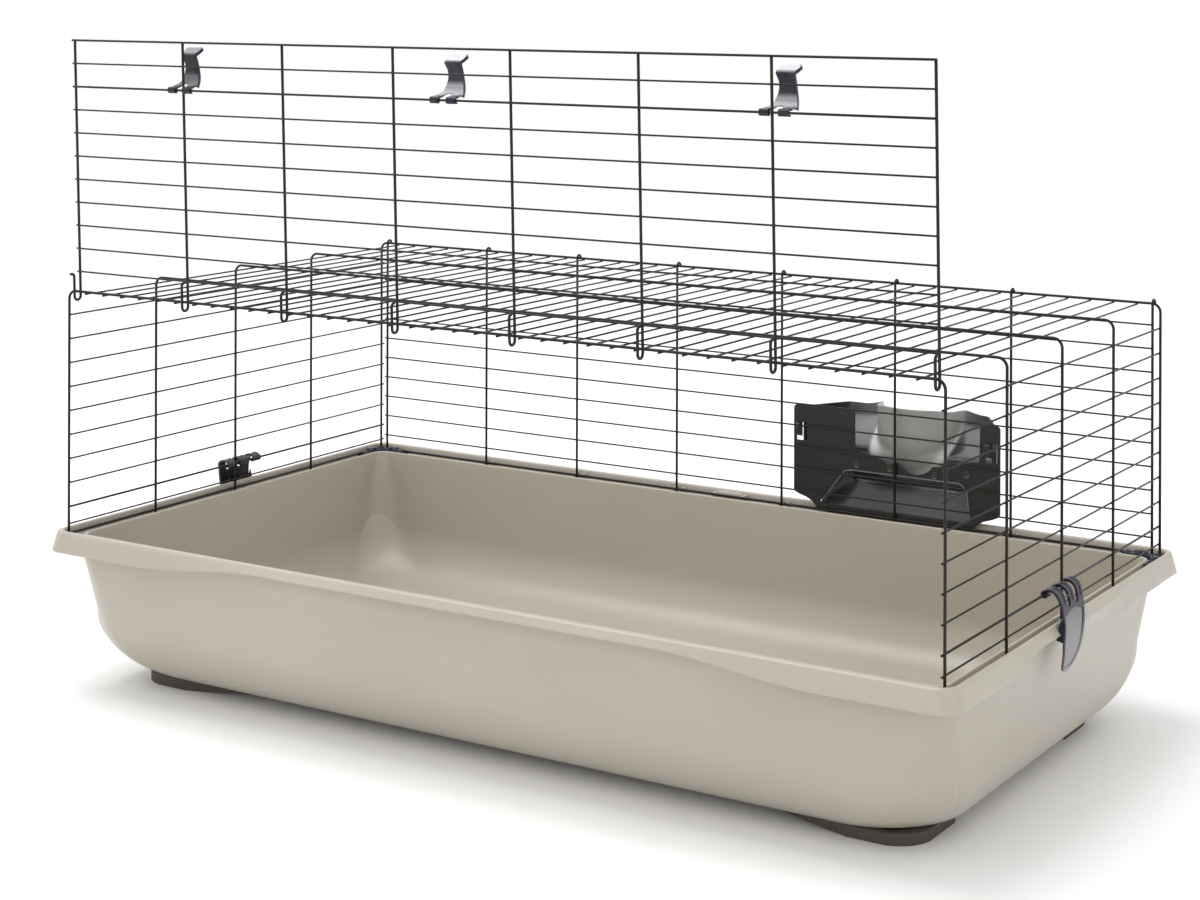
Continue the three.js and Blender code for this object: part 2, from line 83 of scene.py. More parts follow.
def smooth(value, start, end):
    share = min(max((value - start) / (end - start), 0.0), 1.0)
    return share * share * (3 - 2 * share)


def full_turn(steps):
    """Angles round a circle."""
    return [2 * math.pi * k / steps for k in range(steps)]


def add_object(name, data):
    made = bpy.data.objects.new(name, data)
    bpy.context.scene.collection.objects.link(made)
    return made


# ---- Camera and light ---------------------------------------------------------------------
CAMERA_AT = (1460.0, -2323.5, 850.0)
CAMERA_YAW = 0.5639  # radians
CAMERA_ROLL = math.radians(0.158)
LENS = 69.56
SENSOR = 36.0
LENS_DROP = 0.3918


def add_camera():
    """A level camera with its lens dropped by a share of the sensor's width, so that uprights stay upright.

    The drop is a lean of the optical axis, kept in the camera's parent matrix. A camera that is moved to
    another view leaves its parent, so that view is centred."""
    lean = math.atan(LENS_DROP * SENSOR / LENS)
    data = bpy.data.cameras.new("camera")
    data.lens = LENS / math.cos(lean)
    data.sensor_width = SENSOR
    data.clip_end = 100
    stand = add_object("camera_stand", None)
    camera = add_object("camera", data)
    turn = Matrix.Rotation(CAMERA_YAW, 4, "Z") @ Matrix.Rotation(math.pi / 2, 4, "X")
    stand.matrix_world = Matrix.Translation(world(CAMERA_AT)) @ turn @ Matrix.Rotation(CAMERA_ROLL, 4, "Z")
    axis = Matrix.Identity(4)
    axis.col[2] = (0, math.sin(lean), math.cos(lean), 0)
    camera.parent = stand
    camera.matrix_parent_inverse = axis
    bpy.context.scene.camera = camera


def add_area(name, at, towards, size, power):
    data = bpy.data.lights.new(name, "AREA")
    data.shape = "RECTANGLE"
    data.size, data.size_y = size
    data.energy = power
    light = add_object(name, data)
    light.location = at
    light.rotation_euler = (Vector(towards) - Vector(at)).to_track_quat("-Z", "Y").to_euler()


def add_studio():
    scene = bpy.context.scene
    scene.view_settings.view_transform = "Standard"
    scene.view_settings.look = "None"
    backdrop = bpy.data.worlds.new("studio")
    scene.world = backdrop
    backdrop.use_nodes = True
    sky = backdrop.node_tree.nodes["Background"]
    sky.inputs["Color"].default_value = (1.0, 1.0, 1.0, 1)
    sky.inputs["Strength"].default_value = 1.0
    add_area("top_box", (-0.7, 0.1, 2.6), (0, 0, 0.2), (1.8, 2.2), 50)
    add_area("left_box", (-2.6, -2.0, 1.7), (0, 0, 0.2), (1.8, 1.8), 4)
    add_area("front_box", (0.2, -3.4, 1.3), (0, 0, 0.15), (2.4, 1.4), 8)
    add_area("right_box", (3.0, -0.3, 0.7), (0.4, 0, 0.1), (1.6, 0.5), 3)


# ---- Meshes -------------------------------------------------------------------------------
class Builder:
    """Collects vertices, in millimetres, and faces for one mesh."""

    def __init__(self):
        self.points = []
        self.faces = []
        self.tones = []

    def add(self, points, faces, tone=0.0):
        start = len(self.points)
        self.points.extend(Vector(p) for p in points)
        self.tones.extend([tone] * len(points))
        self.faces.extend([start + i for i in face] for face in faces)

    def loft(self, rings, tone=0.0):
        """Closed rings of equal length, joined in order, with a cap at each end."""
        count = len(rings[0])
        points = [p for ring in rings for p in ring]
        faces = []
        for row in range(len(rings) - 1):
            for i in range(count):
                j = (i + 1) % count
                a, b = row * count, (row + 1) * count
                faces.append((a + i, a + j, b + j, b + i))
        faces.append(tuple(reversed(range(count))))
        faces.append(tuple(range(len(points) - count, len(points))))
        self.add(points, faces, tone)

    def tube(self, path, radius, sides=12, tip=0.35, tone=0.0):
        """A round bar along the path, its ends rounded off by tip."""
        path = [Vector(p) for p in path]
        last = len(path) - 1
        tangents = [(path[min(i + 1, last)] - path[max(i - 1, 0)]).normalized() for i in range(len(path))]
        normal = tangents[0].orthogonal().normalized()
        rings = []
        for i, (point, tangent) in enumerate(zip(path, tangents)):
            normal = (normal - tangent * normal.dot(tangent)).normalized()
            across = tangent.cross(normal)
            circle = [normal * math.cos(t) + across * math.sin(t) for t in full_turn(sides)]
            inner = radius - tip
            if i == 0:
                rings.append([point + offset * inner for offset in circle])
                point = point + tangent * tip
            if i == last:
                point = point - tangent * tip
            rings.append([point + offset * radius for offset in circle])
            if i == last:
                rings.append([point + tangent * tip + offset * inner for offset in circle])
        self.loft(rings, tone)

    def bead(self, centre, radii):
        """A small drop of coating at a weld."""
        rows = 5
        rings = []
        for row in range(1, rows):
            angle = math.pi * row / rows
            flat, up = math.sin(angle), math.cos(angle)
            rings.append([(
                centre[0] + radii[0] * flat * math.cos(turn),
                centre[1] + radii[1] * flat * math.sin(turn),
                centre[2] - radii[2] * up,
            ) for turn in full_turn(8)])
        self.loft(rings)

    def box(self, low, high):
        corners = [(x, y, z) for z in (low[2], high[2]) for y in (low[1], high[1]) for x in (low[0], high[0])]
        sides = [(0, 1, 5, 4), (1, 3, 7, 5), (3, 2, 6, 7), (2, 0, 4, 6)]
        self.add(corners, [(0, 2, 3, 1), (4, 5, 7, 6), *sides])

    def sheet(self, us, vs, place, keep=lambda u, v: True, tone=lambda u, v, side: 0.0):
        """A plate over a grid. place(u, v, side) gives its skins, side 0 or 1; cells that keep() refuses are
        holes; tone(u, v, side) is the lightness that a toned material shows, painted light and shade on the
        front clips and the feeder's smoked parts."""
        start = len(self.points)
        rows = len(vs)
        for side in (0, 1):
            for u in us:
                for v in vs:
                    self.points.append(Vector(place(u, v, side)))
                    self.tones.append(tone(u, v, side))
        skin = len(us) * rows

        def index(i, j, side):
            return start + side * skin + i * rows + j

        cells = set()
        for i in range(len(us) - 1):
            for j in range(rows - 1):
                if keep((us[i] + us[i + 1]) / 2, (vs[j] + vs[j + 1]) / 2):
                    cells.add((i, j))
        for i, j in cells:
            corner = [(i, j), (i + 1, j), (i + 1, j + 1), (i, j + 1)]
            self.faces.append([index(a, b, 0) for a, b in reversed(corner)])
            self.faces.append([index(a, b, 1) for a, b in corner])
            steps = [(0, -1), (1, 0), (0, 1), (-1, 0)]
            for k, (di, dj) in enumerate(steps):
                if (i + di, j + dj) in cells:
                    continue
                (a, b), (c, d) = corner[k], corner[(k + 1) % 4]
                self.faces.append([index(a, b, 0), index(c, d, 0), index(c, d, 1), index(a, b, 1)])

    def mesh(self, name, move=world):
        mesh = bpy.data.meshes.new(name)
        mesh.from_pydata([move(p) for p in self.points], [], self.faces)
        if any(self.tones):
            mesh.attributes.new("tone", "FLOAT", "POINT").data.foreach_set("value", self.tones)
        work = bmesh.new()
        work.from_mesh(mesh)
        loose = [v for v in work.verts if not v.link_faces]
        bmesh.ops.delete(work, geom=loose, context="VERTS")
        bmesh.ops.remove_doubles(work, verts=work.verts, dist=1e-7)
        bmesh.ops.recalc_face_normals(work, faces=work.faces)
        work.to_mesh(mesh)
        work.free()
        return mesh


def piece(name, mesh, material, body, slot, *nodes):
    shown = add_object(name, mesh)
    mesh.materials.append(material)
    mesh.polygons.foreach_set("use_smooth", [True] * len(mesh.polygons))
    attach(shown, body)
    if nodes:
        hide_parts(*nodes)
    return shown


def bake_modifiers(shown):
    """Turns the modifiers into plain mesh, so that what shows is what is kept."""
    graph = bpy.context.evaluated_depsgraph_get()
    old = shown.data
    new = bpy.data.meshes.new_from_object(shown.evaluated_get(graph))
    shown.modifiers.clear()
    shown.data = new
    new.name = old.name


def soften(shown, width):
    """Rounds the edges sharper than 35 degrees by width, in millimetres."""
    bevel = shown.modifiers.new("edges", "BEVEL")
    bevel.width = width * MM
    bevel.segments = 2
    bevel.limit_method = "ANGLE"
    bevel.angle_limit = math.radians(35)
    bevel.harden_normals = True
    bake_modifiers(shown)


def even_normals(shown, keep_sharp):
    """Shading normals weighted by face area, so that the large faces stay flat."""
    normals = shown.modifiers.new("normals", "WEIGHTED_NORMAL")
    normals.keep_sharp = keep_sharp
    bake_modifiers(shown)


def curve_through(points, per_span):
    """A smooth line through the points (Catmull-Rom), per_span steps between each two."""
    points = [Vector(p) for p in points]
    line = []
    for i in range(len(points) - 1):
        a, b = points[max(i - 1, 0)], points[i]
        c, d = points[i + 1], points[min(i + 2, len(points) - 1)]
        for k in range(per_span):
            t = k / per_span
            line.append(0.5 * (2 * b + (c - a) * t + (2 * a - 5 * b + 4 * c - d) * t * t
                               + (3 * b - a - 3 * c + d) * t * t * t))
    line.append(points[-1])
    return line


def arc(middle, radius, start, end, steps):
    """Points of an arc in a plane, angles in degrees."""
    points = []
    for i in range(steps + 1):
        angle = math.radians(mix(start, end, i / steps))
        points.append((middle[0] + radius * math.cos(angle), middle[1] + radius * math.sin(angle)))
    return points


# ---- Materials ----------------------------------------------------------------------------
class Nodes:
    """A short way to write a node material."""

    def __init__(self, name):
        self.material = bpy.data.materials.new(name)
        self.material.use_nodes = True
        self.tree = self.material.node_tree
        self.shader = self.tree.nodes["Principled BSDF"]

    def node(self, kind, **values):
        made = self.tree.nodes.new(kind)
        for key, value in values.items():
            setattr(made, key, value)
        return made

    def link(self, source, target):
        self.tree.links.new(source, target)

    def place(self):
        return self.node("ShaderNodeTexCoord").outputs["Object"]

    def noise(self, scale, detail, stretch=(1, 1, 1)):
        mapping = self.node("ShaderNodeMapping")
        mapping.inputs["Scale"].default_value = stretch
        self.link(self.place(), mapping.inputs["Vector"])
        made = self.node("ShaderNodeTexNoise")
        made.inputs["Scale"].default_value = scale
        made.inputs["Detail"].default_value = detail
        self.link(mapping.outputs["Vector"], made.inputs["Vector"])
        return made.outputs["Fac"]

    def ramp(self, value, stops):
        made = self.node("ShaderNodeValToRGB")
        ramp = made.color_ramp
        while len(ramp.elements) < len(stops):
            ramp.elements.new(0.5)
        for element, (position, colour) in zip(ramp.elements, stops):
            element.position = position
            element.color = (*colour, 1) if len(colour) == 3 else colour
        self.link(value, made.inputs["Fac"])
        return made.outputs["Color"]

    def range(self, value, low, high, new_low, new_high):
        made = self.node("ShaderNodeMapRange")
        self.link(value, made.inputs["Value"])
        for key, number in zip(("From Min", "From Max", "To Min", "To Max"), (low, high, new_low, new_high)):
            made.inputs[key].default_value = number
        return made.outputs["Result"]

    def bump(self, value, distance, strength=1.0, below=None):
        made = self.node("ShaderNodeBump")
        made.inputs["Distance"].default_value = distance
        made.inputs["Strength"].default_value = strength
        self.link(value, made.inputs["Height"])
        if below is not None:
            self.link(below, made.inputs["Normal"])
        return made.outputs["Normal"]

    def uneven_tone(self, cloud, amount):
        """The mesh's tone attribute plus an amount of a noise."""
        tone = self.node("ShaderNodeAttribute", attribute_name="tone").outputs["Fac"]
        blend = self.node("ShaderNodeMath", operation="MULTIPLY_ADD")
        self.link(cloud, blend.inputs[0])
        blend.inputs[1].default_value = amount
        self.link(tone, blend.inputs[2])
        return blend.outputs[0]

    def feed(self, socket, value):
        self.link(value, self.shader.inputs[socket])

    def set(self, **values):
        for key, value in values.items():
            self.shader.inputs[key.replace("_", " ")].default_value = value


def tint(colour, factor):
    return tuple(channel * factor for channel in colour)


def moulded_plastic(name, colour, roughness, grain, flow=0.04, coat=0.0):
    """Injection-moulded plastic: faint flow marks in the colour, a fine spark-eroded grain in the surface."""
    nodes = Nodes(name)
    marks = nodes.noise(6, detail=1, stretch=(1, 1, 2.5))
    stops = [(0.0, tint(colour, 1 - 2.5 * flow)), (1.0, tint(colour, 1 + 2.5 * flow))]
    nodes.feed("Base Color", nodes.ramp(marks, stops))
    cloud = nodes.noise(12, detail=1)
    nodes.feed("Roughness", nodes.range(cloud, 0.0, 1.0, roughness - 0.06, roughness + 0.06))
    wide = nodes.bump(nodes.noise(9, detail=1, stretch=(1, 1, 2.5)), 0.0012, 0.3)
    fine = nodes.bump(nodes.noise(900, detail=1), 0.00002 * grain, 0.5, below=wide)
    nodes.feed("Normal", fine)
    nodes.set(Coat_Weight=coat, Coat_Roughness=0.12, IOR=1.49)
    return nodes.material


def coated_wire():
    """Steel wire under a glossy black dip coating that is uneven along its length."""
    nodes = Nodes("coated_wire")
    patches = nodes.noise(90, detail=4)
    stops = [(0.25, (0.007, 0.005, 0.004)), (0.8, (0.016, 0.012, 0.009))]
    nodes.feed("Base Color", nodes.ramp(patches, stops))
    nodes.feed("Roughness", nodes.range(patches, 0.3, 0.7, 0.34, 0.48))
    nodes.feed("Normal", nodes.bump(nodes.noise(420, detail=3), 0.00012, 0.5))
    nodes.set(Specular_IOR_Level=0.28)
    return nodes.material


def plastic_with_painted_light(name, dark, pale, roughness):
    """Glossy plastic whose tone runs from dark to pale with the mesh's tone attribute, a little uneven; on
    the front clips that tone is painted light and shade.
    """
    nodes = Nodes(name)
    cloud = nodes.noise(70, detail=4)
    nodes.feed("Base Color", nodes.ramp(nodes.uneven_tone(cloud, 0.16), [(0.08, dark), (1.08, pale)]))
    nodes.feed("Roughness", nodes.range(cloud, 0.3, 0.7, roughness - 0.05, roughness + 0.07))
    waves = nodes.bump(nodes.noise(160, detail=3), 0.00012, 0.5)
    nodes.feed("Normal", nodes.bump(nodes.noise(1500, detail=1), 0.00001, 0.5, below=waves))
    nodes.set(IOR=1.49, Specular_IOR_Level=0.35)
    return nodes.material


def smoked_plastic():
    """Clear grey plastic whose colour runs from dark to pale with the mesh's tone attribute, a little uneven;
    the pale tone is painted light, where light shows through the plastic and shines on it.
    """
    nodes = Nodes("smoked_plastic")
    swirl = nodes.noise(14, detail=3)
    stops = [(0.06, (0.014, 0.014, 0.014)), (1.06, (0.42, 0.42, 0.405))]
    nodes.feed("Base Color", nodes.ramp(nodes.uneven_tone(swirl, 0.12), stops))
    nodes.feed("Roughness", nodes.range(swirl, 0.3, 0.7, 0.1, 0.2))
    nodes.feed("Normal", nodes.bump(nodes.noise(60, detail=2, stretch=(1, 1, 0.4)), 0.0003, 0.35))
    nodes.set(IOR=1.49, Alpha=0.93, Specular_IOR_Level=0.35)
    return nodes.material


TRAY_COLOUR = (0.41, 0.373, 0.312)
TRAY = moulded_plastic("tray_plastic", TRAY_COLOUR, 0.3, 1.0, flow=0.02)
WIRE = coated_wire()
# One plastic for the clips; its pale and dark tones on the front clips are painted light and shade.
CLIP = plastic_with_painted_light("clip_plastic", (0.006, 0.006, 0.017), (0.42, 0.41, 0.44), 0.3)
BADGE = moulded_plastic("clip_panel", (0.1, 0.098, 0.104), 0.24, 0.4, coat=0.3)
CONNECTOR = moulded_plastic("connector_plastic", (0.022, 0.025, 0.042), 0.36, 0.6, coat=0.15)
STUD = moulded_plastic("stud_plastic", (0.03, 0.03, 0.029), 0.25, 0.5, coat=0.3)
FEEDER = moulded_plastic("feeder_plastic", (0.011, 0.011, 0.011), 0.4, 0.8)
SMOKED = smoked_plastic()
# The feet are moulded in the tray's own plastic; their darker colour is painted shade, the shade beneath the
# tray's cove.
FOOT = moulded_plastic("foot_painted_shade", (0.066, 0.05, 0.043), 0.6, 1.4)


# ---- Tray ---------------------------------------------------------------------------------
LONG_STEPS = 150
SHORT_STEPS = 84
CORNER_STEPS = 18
BOTTOM = 10.2  # underside of the tray between its feet
FLOOR = 13.4  # inside
COVE_X, COVE_Y = 57, 71  # outer cove of the end walls and of the long walls
WALL_TOP = 160


def ring_points(half_x, half_y, radius):
    """A rounded rectangle, counter-clockwise from the middle of the right side's rear corner."""
    points = []
    straight_x, straight_y = half_x - radius, half_y - radius

    def corner(sign_x, sign_y, start):
        for x, y in arc((sign_x * straight_x, sign_y * straight_y), radius, start, start + 90, CORNER_STEPS):
            points.append((x, y))

    def side(start, end, steps):
        for i in range(1, steps):
            points.append((mix(start[0], end[0], i / steps), mix(start[1], end[1], i / steps)))

    corner(1, 1, 0)
    side((straight_x, half_y), (-straight_x, half_y), LONG_STEPS)
    corner(-1, 1, 90)
    side((-half_x, straight_y), (-half_x, -straight_y), SHORT_STEPS)
    corner(-1, -1, 180)
    side((-straight_x, -half_y), (straight_x, -half_y), LONG_STEPS)
    corner(1, -1, 270)
    side((half_x, -straight_y), (half_x, straight_y), SHORT_STEPS)
    return points


def middle_share(x, y):
    """1 along the middle of a side, where the apron is narrow, 0 near the corners, where it is deep."""
    on_long_side = abs(y) > 250 and abs(x) < 500
    along = (abs(x) - 255) / 190 if on_long_side else (abs(y) - 102) / 100
    return 1 - smooth(along, 0, 1)


def level(deep, narrow=None):
    """One ring of the tray from (half_x, half_y, radius, z) near the corners and in the middles."""
    narrow = narrow or deep
    ring = []
    for (x0, y0), (x1, y1) in zip(ring_points(*deep[:3]), ring_points(*narrow[:3])):
        share = middle_share(x0, y0)
        ring.append(Vector((mix(x0, x1, share), mix(y0, y1, share), mix(deep[3], narrow[3], share))))
    return ring


def wall_level(height):
    """Outer face of the wall at a height: a cove at the foot, a slight draft above it."""
    half_x = 569.2 - 0.095 * (WALL_TOP - height)
    half_y = 302.9 - 0.034 * (WALL_TOP - height)
    drop_x = max(BOTTOM + COVE_X - height, 0)
    drop_y = max(BOTTOM + COVE_Y - height, 0)
    half_x += math.sqrt(COVE_X ** 2 - drop_x ** 2) - COVE_X
    half_y += math.sqrt(COVE_Y ** 2 - drop_y ** 2) - COVE_Y
    radius = mix(92, 32, min(max((height - BOTTOM) / 150, 0), 1))
    return half_x, half_y, radius, height


def inner_level(angle):
    """Inner cove from the wall, angle 0, to the floor, 90 degrees."""
    turn = math.radians(angle)
    deep_x, deep_y, high = 58, 66, 66
    half_x = 559.6 - deep_x * (1 - math.cos(turn))
    half_y = 291.4 - deep_y * (1 - math.cos(turn))
    radius = mix(40, 74, math.sin(turn))
    return half_x, half_y, radius, FLOOR + high * (1 - math.sin(turn))


def tray_rings():
    """Rings of the outer skin, from the bottom up to the rim, and rings of the rim's top and the inside."""
    outside = []
    for share in (0.34, 0.67):
        half_x, half_y, radius, _ = wall_level(BOTTOM)
        outside.append(level((half_x * share, half_y * share, radius * share, BOTTOM)))
    for k in range(37):
        height = BOTTOM + COVE_Y * (1 - math.cos(math.radians(k * 2.5)))
        outside.append(level(wall_level(height)))
    for height in range(84, 148, 3):
        outside.append(level(wall_level(height)))
    apron = (
        (wall_level(151), (569.0, 303.2, 32, 153)),
        ((569.3, 303.3, 31, 158), (570.9, 305.8, 30, 161)),
        ((570.0, 305.2, 30, 165), (575.0, 311.0, 28, 168)),
        ((571.4, 307.6, 29, 170), (579.8, 316.6, 26, 172.6)),
        ((573.2, 310.2, 28, 172.6), (583.2, 320.6, 25, 175.4)),
        ((585.6, 323.6, 25, 173.4), (585.3, 322.9, 24, 177.0)),
        ((586.9, 325.0, 24, 172.2), (586.2, 323.9, 24, 177.6)),
        ((588.1, 326.1, 24, 165.0), (587.2, 325.0, 24, 177.9)),
        ((588.7, 326.7, 24, 164.0), (588.4, 326.4, 24, 178.0)),
        ((589.4, 327.4, 24, 163.7), (589.3, 327.3, 24, 178.2)),
        ((590.0, 328.0, 24, 164.3), (590.0, 328.0, 24, 178.8)),
        ((588.9, 326.9, 23.6, 169.0), (589.2, 327.2, 23.6, 180.0)),
        ((587.3, 325.3, 23, 176.0), (587.6, 325.6, 23, 182.2)),
        ((585.7, 323.7, 22, 183.0), (585.8, 323.8, 22, 184.4)),
    )
    outside.extend(level(deep, narrow) for deep, narrow in apron)
    inside = []
    edge = ((-0.2, 21.6, 185.2), (-0.9, 21, 186.5), (-2.0, 20.4, 187.2), (-3.2, 19.6, 187.5))
    for half, radius, height in edge:
        inside.append(level((585.2 + half, 323.2 + half, radius, height)))
    channel = (
        (580.4, 316.2, 17, 187.5), (579.3, 315.0, 16.4, 187.2), (578.6, 314.2, 16, 186.4),
        (578.2, 313.6, 15.6, 184.6), (577.4, 312.6, 15, 178.2), (576.9, 312.1, 14.6, 176.9),
        (575.9, 311.1, 14, 176.2), (574.6, 309.8, 13, 176.0), (568.6, 301.0, 15, 176.0),
        (567.7, 300.1, 15, 175.7), (567.2, 299.6, 15, 174.9), (567.0, 299.4, 15, 168.0),
        (564.9, 297.3, 16.5, 168.0), (564.7, 297.1, 16.8, 175.0), (564.6, 296.9, 17, 178.0),
        (564.3, 296.5, 17, 179.9), (563.9, 296.1, 17, 180.6), (563.2, 295.4, 17, 181.0),
        (562.0, 294.2, 16.6, 181.0), (561.2, 293.4, 16.4, 180.6), (560.7, 292.9, 16, 179.8),
    )
    inside.extend(level(values) for values in channel)
    wall = ((174, 17), (164, 20), (152, 23.5), (140, 27), (127, 30.5), (114, 33.5), (101, 36.5), (90, 38.5))
    for height, radius in wall:
        shrink = (180 - height) * 0.011
        inside.append(level((560.6 - shrink, 292.8 - shrink, radius, height)))
    for angle in range(0, 91, 5):
        inside.append(level(inner_level(angle)))
    for share in (0.67, 0.34):
        half_x, half_y, radius, _ = inner_level(90)
        inside.append(level((half_x * share, half_y * share, radius * share, FLOOR)))
    return outside, inside


def relief(x, y, z):
    """How far the outer skin stands out in its faint moulded arches and pads."""
    step = 0.2
    # Low on the front wall and on the end walls' front parts, up to a crest that falls away from the corner.
    if y < -230 and abs(x) < 557:
        crest = 87 - 48 * (max(545 - abs(x), 0) / 150) ** 1.7
        return step * smooth(crest - z, -1.2, 1.2) * smooth(abs(x), 380, 400)
    if abs(x) > 505 and y < -170:
        crest = 87 - 50 * (max(y + 262, 0) / 78) ** 1.5
        return step * smooth(crest - z, -1.2, 1.2)
    # A pad under the rim towards the back of each end wall.
    if abs(x) > 540 and abs(y - 199) < 50:
        reach = 165 - 28 * math.sqrt(1 - ((y - 199) / 50) ** 2)
        return 4 * step * smooth(z - reach, -1.2, 1.2)
    return 0.0


def tray_mesh():
    outside, inside = tray_rings()
    for ring in outside:
        for point in ring:
            x, y, z = point
            if 20 < z < 170:
                lift = relief(x, y, z)
                away = Vector((x if abs(x) > 525 else 0, y * 1.8 if abs(y) > 255 else 0, 0))  # off its wall
                if lift and away.length:
                    point += away.normalized() * lift
    build = Builder()
    build.loft(outside + inside)
    return build.mesh("tray")


def foot_outline(sign_x, sign_y):
    """A foot under one corner: a bent bar that tapers off along the long side."""
    outer_x, outer_y, radius, width = 514, 247, 40, 15
    outer = arc((outer_x - radius, outer_y - radius), radius, 0, 90, 10)
    inner = arc((outer_x - radius, outer_y - radius), radius - width, 90, 0, 8)
    outline = [(outer_x, 152), *outer, (438, outer_y), (352, outer_y - 13), (345, outer_y - 19),
               (438, outer_y - width), *inner, (outer_x - width, 152)]
    return [(sign_x * x, sign_y * y) for x, y in outline]


def add_tray():
    shown = piece("tray", tray_mesh(), TRAY, "root", "tray_plastic", "tray")
    even_normals(shown, True)
    for side_y, fore in ((-1, "front"), (1, "rear")):
        for side_x, hand in ((-1, "left"), (1, "right")):
            build = Builder()
            outline = foot_outline(side_x, side_y)
            centre = Vector((side_x * 475, side_y * 205))
            rings = []
            for height, grow in ((0.0, 0.985), (0.9, 0.996), (2.0, 1.0), (9.0, 1.0), (18.0, 1.012)):
                top = []
                for x, y in outline:
                    flat = centre + (Vector((x, y)) - centre) * grow
                    thin = smooth(438 - abs(x), 0, 90)  # the tapering end along the tray
                    sunk = height * mix(1, 0.6, thin) + 8 * thin
                    top.append((flat.x, flat.y, sunk if height < 18 else 13.2))
                rings.append(top)
            build.loft(rings)
            piece(f"{fore}_{hand}_foot", build.mesh("foot"), FOOT, "root", "tray_plastic")


def add_channel_details():
    """The moulded tabs of the channel: a block at mid length behind, a tab in front, guides by the wires."""
    build = Builder()
    build.box((-27, 303.7, 174), (21, 312.9, 184.6))
    build.box((-22, 304.5, 184.0), (16, 310.5, 186.2))
    build.box((-30, -313.2, 174), (14, -305.8, 184.8))
    build.box((-24, -306.2, 174), (8, -297.0, 180.2))
    for x in (-79, 76, 387, -384, -235):
        for offset in (-7.5, 4.5):
            build.box((x + offset, 305.6, 174), (x + offset + 3, 312.9, 184.0))
    shown = piece("channel_tabs", build.mesh("channel_tabs"), TRAY, "root", "tray_plastic")
    soften(shown, 0.8)


# ---- Wire panels --------------------------------------------------------------------------
ROOF = 474.5
CAGE_X = 570.0
CAGE_Y = 306.0
THICK = 1.6
THIN = 1.02
SINK = 0.35
OFFSET = THICK + THIN - SINK
U_WIRES = (-306.0, -156.0, -6.0, 149.0, 306.0)
PANEL_WIRES = (-556.0, -384.0, -235.0, -79.0, 76.0, 234.0, 387.0, 562.0)
END_PITCH = 28.83
END_LEVELS = [ROOF - END_PITCH * (k if k < 10 else 9.71) for k in range(1, 11)]
ROOF_WIRES = [-570 + 28.5 * k for k in range(1, 40)]
REAR_Y = 301.8
REAR_PITCH = 27.47
REAR_LEVELS = [ROOF - REAR_PITCH * (0.88 + k) for k in range(10)]
OVER = 3.0
WIRE_FOOT = 176.8
FRAME_Z = WIRE_FOOT + THICK + 4  # the wires along the foot of a panel, raised level with the channel's inner lip: partly a real frame wire, partly a dark line standing in as painted shade for the gap in the channel


def jitter(seed, size):
    return random.Random(seed).uniform(-size, size)


def weld(build, point, along):
    """A bead where two wires are welded; along is the thin wire's axis."""
    radii = [1.5, 1.5, 1.5]
    radii[along] = 2.3
    build.bead(point, radii)


def add_end_wall(sign, name):
    build = Builder()
    thin_x = sign * (CAGE_X - OFFSET)
    for y in U_WIRES:
        build.tube([(sign * CAGE_X, y, WIRE_FOOT), (sign * CAGE_X, y, ROOF - 13)], THICK)
    if sign < 0:
        build.tube([(sign * CAGE_X, -CAGE_Y - 1, FRAME_Z), (sign * CAGE_X, 263, FRAME_Z)], THICK)
    for index, z in enumerate(END_LEVELS):
        radius = 1.3 if index == 8 else THIN
        ends = [CAGE_Y + OVER + jitter(f"{name}{index}{k}", 0.5) for k in (0, 1)]
        build.tube([(thin_x, -ends[0], z), (thin_x, ends[1], z)], radius, 10)
        for y in U_WIRES:
            weld(build, (sign * (CAGE_X - 1.35), y, z), 1)
    piece(name, build.mesh(name), WIRE, "root", "coated_wire", name)


def add_roof():
    build = Builder()
    bend = arc((CAGE_X - 10, ROOF - 10), 10, 0, 90, 10)
    for y in U_WIRES:
        right = [(x, y, z) for x, z in [(CAGE_X, ROOF - 13.0), *bend]]
        left = [(-x, y, z) for x, _, z in reversed(right)]
        build.tube([*right, *left], THICK)
    z = ROOF - OFFSET
    for index, x in enumerate(ROOF_WIRES):
        ends = [CAGE_Y + OVER + jitter(f"roof{index}{k}", 0.6) for k in (0, 1)]
        build.tube([(x, -ends[0], z), (x, ends[1], z)], THIN, 10)
        for y in U_WIRES:
            weld(build, (x, y, ROOF - 1.35), 1)
    piece("roof_grille", build.mesh("roof_grille"), WIRE, "root", "coated_wire", "roof_grille")


PANEL_LEFT = PANEL_WIRES[0] - 2.3
PANEL_RIGHT = PANEL_WIRES[-1] + 2.3


def add_rear():
    build = Builder()
    hook = arc((CAGE_Y, ROOF), CAGE_Y - REAR_Y, 180, -10, 14)
    for x in PANEL_WIRES:
        build.tube([(x, y, z) for y, z in [(REAR_Y, WIRE_FOOT), *hook]], THICK)
    build.tube([(-527, REAR_Y, FRAME_Z), (527, REAR_Y, FRAME_Z)], THICK)
    for z in REAR_LEVELS:
        build.tube([(PANEL_LEFT, REAR_Y - OFFSET, z), (PANEL_RIGHT, REAR_Y - OFFSET, z)], THIN, 10)
        for x in PANEL_WIRES:
            weld(build, (x, REAR_Y - 1.35, z), 0)
    piece("rear_grille", build.mesh("rear_grille"), WIRE, "root", "coated_wire", "rear_grille")


LEAN = math.radians(2)
DOOR_TOP = 301.6
DOOR_PITCH = 27.78
DOOR_LEVELS = [DOOR_TOP - DOOR_PITCH * k for k in range(11)]
DOOR_Y = 4.5


def door_place(point):
    """From the front panel's own frame, its hinge line on X and itself upright, to the world."""
    x, y, z = point
    back = y * math.cos(LEAN) - z * math.sin(LEAN)
    up = y * math.sin(LEAN) + z * math.cos(LEAN)
    return world((x, back - CAGE_Y, up + ROOF))


